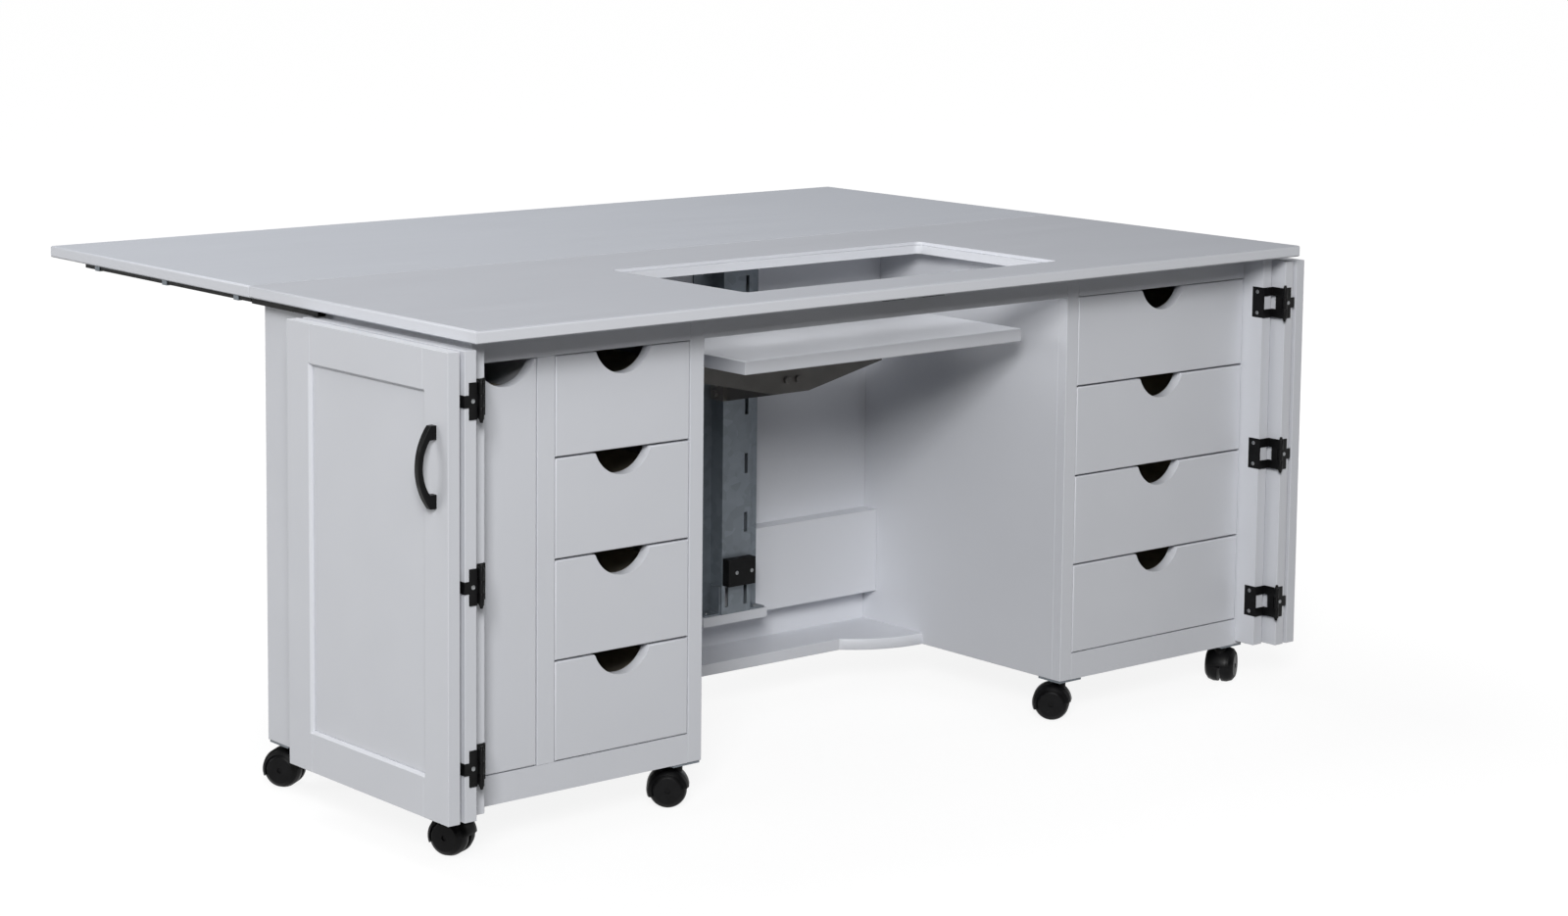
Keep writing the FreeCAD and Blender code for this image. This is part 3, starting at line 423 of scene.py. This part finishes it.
def look_of(name, slot):
    """The key of a node's material: its slot, apart from the rear leaf and boards with level grain."""
    if name == "rear_leaf":
        return "leaf_laminate"
    if slot == "white_board" and ("drawer" in name or name == "lift_platform"):
        return "level_board"
    return slot


def solids_of(mesh):
    """Yields the places of the corners and the vertices of each solid in a mesh.

    The faces of a solid follow one another, and it is complete when no edge is left open. Faces that
    close no solid come last, as one group.
    """
    places, members, open_edges = set(), set(), set()
    for polygon in mesh.polygons:
        corners = [tuple(round(value / PLACE_GRID) for value in mesh.vertices[index].co)
                   for index in polygon.vertices]
        for start, end in zip(corners, corners[1:] + corners[:1]):
            if start != end:
                open_edges ^= {frozenset((start, end))}
        places.update(corners)
        members.update(polygon.vertices)
        if not open_edges:
            yield places, members
            places, members = set(), set()
    if members:
        yield places, members


def weld_solids(node):
    """Joins the faces of each solid at their shared corners, and leaves solids that touch apart.

    A weld joins whatever meets in its vertex group, so solids that touch go into different groups.
    """
    layers = []
    for places, members in solids_of(node.data):
        for taken, gathered in layers:
            if taken.isdisjoint(places):
                taken.update(places)
                gathered.update(members)
                break
        else:
            layers.append((places, members))
    for _, gathered in layers:
        group = node.vertex_groups.new(name="solids")
        group.add(list(gathered), 1.0, "REPLACE")
        weld = node.modifiers.new("weld", "WELD")
        weld.vertex_group = group.name
        weld.merge_threshold = WELD_DISTANCE


def soften_edges(node, width):
    """Rounds a node's sharp edges a little, as paint and plating do."""
    weld_solids(node)
    bevel = node.modifiers.new("edges", "BEVEL")
    bevel.width = width
    bevel.segments = EDGE_SEGMENTS
    bevel.limit_method = "ANGLE"
    bevel.angle_limit = SHARP_ANGLE
    bevel.harden_normals = True


def dress_nodes(materials):
    """Gives each CAD node its material and soft edges."""
    for part in frame["record"]["subparts"]:
        name, slot = part["node"], part["material_slot"]
        node = nodes[name]
        node.data.materials.clear()
        node.data.materials.append(materials[look_of(name, slot)])
        soften_edges(node, BOARD_EDGE if slot in BOARD_SLOTS else METAL_EDGE)


def cross_outline():
    """How far a cross recess reaches at each side of a head, in shares of the head's radius."""
    quarter = HEAD_SIDES // 4
    return [CROSS_REACH if min(side % quarter, -side % quarter) < CROSS_ARM_SIDES else CROSS_WAIST
            for side in range(HEAD_SIDES)]


def hexagon_outline():
    """How far a hexagon reaches at each side of a head, in shares of its corners' radius."""
    step = HEAD_SIDES // 6
    turn = 2 * math.pi / HEAD_SIDES
    return [math.cos(math.pi / 6) / math.cos(turn * (side % step - step / 2)) for side in range(HEAD_SIDES)]


class Fittings:
    """Screws and bolts gathered into one mesh."""

    def __init__(self):
        self.mesh = bmesh.new()

    def turned(self, place, axis, radius, levels):
        """A capped form about an axis, from levels with a height, an outline and the outline's scale."""
        across = axis.orthogonal().normalized()
        along = axis.cross(across)
        rows = []
        for height, outline, scale in levels:
            row = []
            for side, share in enumerate(outline):
                angle = 2 * math.pi * side / HEAD_SIDES
                arm = math.cos(angle) * across + math.sin(angle) * along
                row.append(self.mesh.verts.new(place + height * axis + radius * scale * share * arm))
            rows.append(row)
        for low, high in zip(rows, rows[1:]):
            for side in range(HEAD_SIDES):
                after = (side + 1) % HEAD_SIDES
                self.mesh.faces.new((low[side], low[after], high[after], high[side]))
        self.mesh.faces.new(rows[0])
        self.mesh.faces.new(rows[-1])

    def screw(self, place, axis, rise=SCREW_HEIGHT):
        """A low pan head with a cross recess, as high as its rise."""
        cross = cross_outline()
        levels = ((0, ROUND_OUTLINE, 1), (SCREW_SHOULDER_HEIGHT * rise, ROUND_OUTLINE, SCREW_SHOULDER_WIDTH),
                  (rise, ROUND_OUTLINE, SCREW_CROWN_WIDTH), (rise, cross, 1),
                  ((1 - RECESS_DEPTH) * rise, cross, RECESS_FLOOR_WIDTH))
        self.turned(place, axis, SCREW_RADIUS, levels)

    def bolt(self, place, axis):
        """A chamfered hexagon head."""
        hexagon = hexagon_outline()
        levels = ((0, hexagon, 1), (BOLT_CHAMFER_HEIGHT * BOLT_HEIGHT, hexagon, 1),
                  (BOLT_HEIGHT, ROUND_OUTLINE, BOLT_CROWN_WIDTH))
        self.turned(place, axis, BOLT_RADIUS, levels)

    def place_on(self, body, material, slot="zinc_steel"):
        """Turns the gathered mesh into a piece that moves with a body."""
        bmesh.ops.recalc_face_normals(self.mesh, faces=self.mesh.faces)
        data = bpy.data.meshes.new(body + "_screws")
        self.mesh.to_mesh(data)
        self.mesh.free()
        data.materials.append(material)
        piece = add_object(body + "_screws", data)
        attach(piece, body)


def hinge_levels():
    """The heights of the door hinges."""
    low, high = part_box("right_inner_door")
    return [(low.z + high.z) / 2 + share * (high.z - low.z) for share in HINGE_SHARES]


def case_leaf_screws(fittings):
    """Two screws in the leg of each case leaf, on the inner face of its post."""
    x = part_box("face_frame")[1].x - POST_WIDTH
    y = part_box("case_hinges")[1].y - LEG_SCREW_INSET
    for level in hinge_levels():
        for side in (-1, 1):
            for rise in (-LEG_SCREW_RISE, LEG_SCREW_RISE):
                fittings.screw(Vector((side * x, y, level + rise)), Vector((-side, 0, 0)))


def door_leaf_screws(fittings, side):
    """A nearly flush screw in each hinge leaf on the inner door's edge, which closes on the case leaf."""
    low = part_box("right_inner_door")[0]
    for level in hinge_levels():
        place = Vector((side * (low.x + LEAF_SCREW_INSET), low.y - HINGE_PLATE, level))
        fittings.screw(place, FORWARD, FLUSH_HEIGHT)


def fold_leaf_screws(fittings, side, face_x, outward):
    """Two screws in each fold hinge leaf, on a door's inner face."""
    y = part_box("right_outer_door_hinges")[0].y + FOLD_SCREW_INSET
    for level in hinge_levels():
        for rise in (-FOLD_SCREW_RISE, FOLD_SCREW_RISE):
            fittings.screw(Vector((side * face_x, y, level + rise)), Vector((side * outward, 0, 0)))


def seam_screws(fittings, side):
    """Two screws in each seam hinge leaf, under the main top (-1) or the rear leaf (1)."""
    low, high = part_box("main_top")
    pin_y = (high.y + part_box("rear_leaf")[0].y) / 2
    for share in SEAM_HINGE_SHARES:
        for spread in (-SEAM_SCREW_SPREAD, SEAM_SCREW_SPREAD):
            x = share * (high.x - low.x) + spread
            fittings.screw(Vector((x, pin_y + side * SEAM_SCREW_REACH, low.z)), DOWN)


def lift_column_screws(fittings):
    """Screws through the column's flanges, its foot brackets and the stop."""
    low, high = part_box("lift_column")
    middle = (low.x + high.x) / 2
    foot_y = low.y + BRACKET_SCREW_SETBACK
    for side in (-1, 1):
        for level in FLANGE_SCREW_LEVELS:
            x = middle + side * FLANGE_SCREW_OFFSET
            fittings.screw(Vector((x, high.y - COLUMN_WALL, level)), FORWARD)
        x = middle + side * BRACKET_SCREW_OFFSET
        fittings.screw(Vector((x, foot_y, low.z + COLUMN_WALL)), UP)
    low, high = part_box("lift_stop")
    for share in STOP_SCREW_SHARES:
        x = low.x + share * (high.x - low.x)
        fittings.screw(Vector((x, low.y, (low.z + high.z) / 2)), FORWARD)


def caster_screws(fittings):
    """Four screws in each caster's plate."""
    low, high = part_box("right_case")
    front_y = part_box("right_drawer_1_front")[0].y + CASTER_INSET
    outer_x = high.x - CASTER_INSET
    places = ((outer_x, front_y), (low.x + CASTER_INSET, front_y), (outer_x, high.y - CASTER_INSET))
    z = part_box("caster_plates")[0].z
    corners = [(a * CASTER_SCREW_SPREAD, b * CASTER_SCREW_SPREAD) for a in (-1, 1) for b in (-1, 1)]
    for side in (-1, 1):
        for x, y in places:
            for across, along in corners:
                fittings.screw(Vector((side * x + across, y + along, z)), DOWN)


def lift_bolts(fittings):
    """Bolts through the hub of the cross-beam and the carriage's cheeks."""
    low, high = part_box("lift_carriage")
    middle = (low.x + high.x) / 2
    beam_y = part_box("lift_platform")[1].y - BEAM_SETBACK
    for spread in (-HUB_BOLT_SPREAD, HUB_BOLT_SPREAD):
        fittings.bolt(Vector((middle + spread, beam_y, high.z - HUB_BOLT_DROP)), FORWARD)
    for side in (-1, 1):
        for drop in CHEEK_BOLT_DROPS:
            place = Vector((middle + side * CHEEK_OFFSET, high.y - CHEEK_BOLT_SETBACK, high.z - drop))
            fittings.bolt(place, Vector((side, 0, 0)))


def dress_fittings(materials):
    """Gives each body its screws, and the lift its bolts, which are painted with its arm."""
    steel = screw_steel()
    inner_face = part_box("right_inner_door")[1].x + FOLD_PLATE
    outer_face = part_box("right_outer_door")[0].x - FOLD_PLATE
    cabinet, leaf, lift = Fittings(), Fittings(), Fittings()
    case_leaf_screws(cabinet)
    seam_screws(cabinet, -1)
    lift_column_screws(cabinet)
    caster_screws(cabinet)
    cabinet.place_on("cabinet", steel)
    seam_screws(leaf, 1)
    leaf.place_on("leaf", steel)
    lift_bolts(lift)
    lift.place_on("lift", materials["arm_steel"], "arm_steel")
    for name, side in (("left", -1), ("right", 1)):
        inner, outer = Fittings(), Fittings()
        door_leaf_screws(inner, side)
        fold_leaf_screws(inner, side, inner_face, 1)
        inner.place_on(name + "_inner_door", steel)
        fold_leaf_screws(outer, side, outer_face, -1)
        outer.place_on(name + "_outer_door", steel)


make_camera()
for lamp_name, settings in LAMPS.items():
    make_lamp(lamp_name, *settings)
make_world()
make_floor()
slot_materials = make_materials()
dress_nodes(slot_materials)
dress_fittings(slot_materials)
bpy.context.scene.view_settings.view_transform = "Standard"
